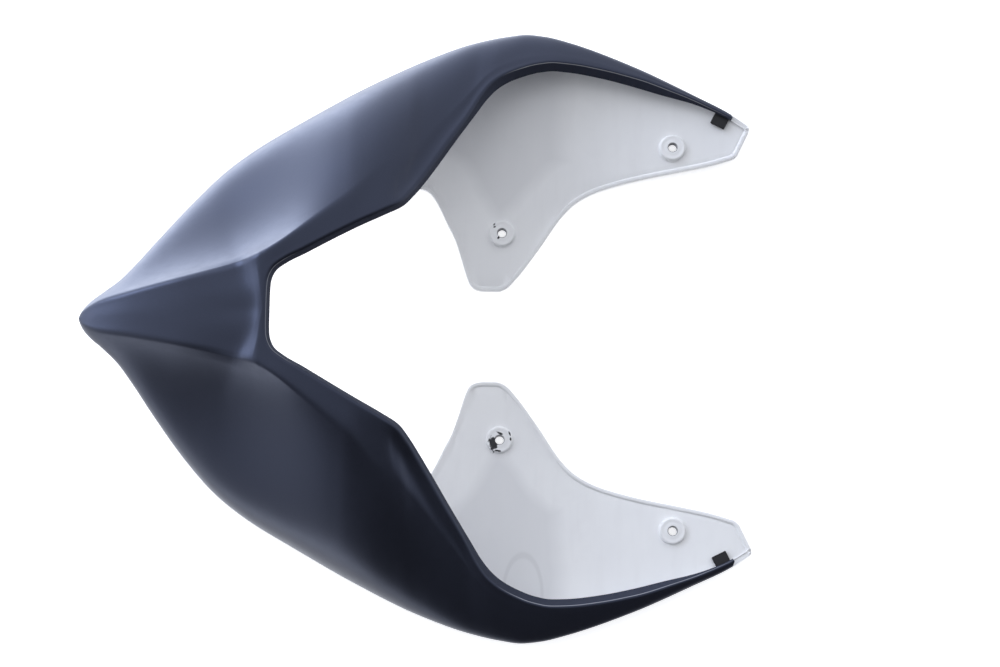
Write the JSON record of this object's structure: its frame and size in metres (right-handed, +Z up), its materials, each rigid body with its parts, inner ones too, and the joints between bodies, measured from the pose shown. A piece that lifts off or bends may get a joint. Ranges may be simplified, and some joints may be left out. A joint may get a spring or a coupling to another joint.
{
  "type": "motorcycle seat cowl",
  "caption": "V-shaped motorcycle seat cowl: a painted tail shell with two ridges, a square notch and two channel-section arms with screw bosses and edge pads.",
  "frame": {"origin": "middle of the bounding box in plan, on the plane the cowl rests on", "axes": "+X from the closed tail towards the tips of the two arms, +Y to the left arm, +Z up"},
  "size_m": [0.419, 0.3888, 0.091],
  "materials": {
    "painted_shell": "satin blue-black paint outside, bare light grey moulding on the side panels",
    "pad_rubber": "black foam rubber"
  },
  "bodies": {
    "root": {"cowl_shell": "painted_shell", "edge_pad_left": "pad_rubber", "edge_pad_right": "pad_rubber"}
  },
  "joints": []
}
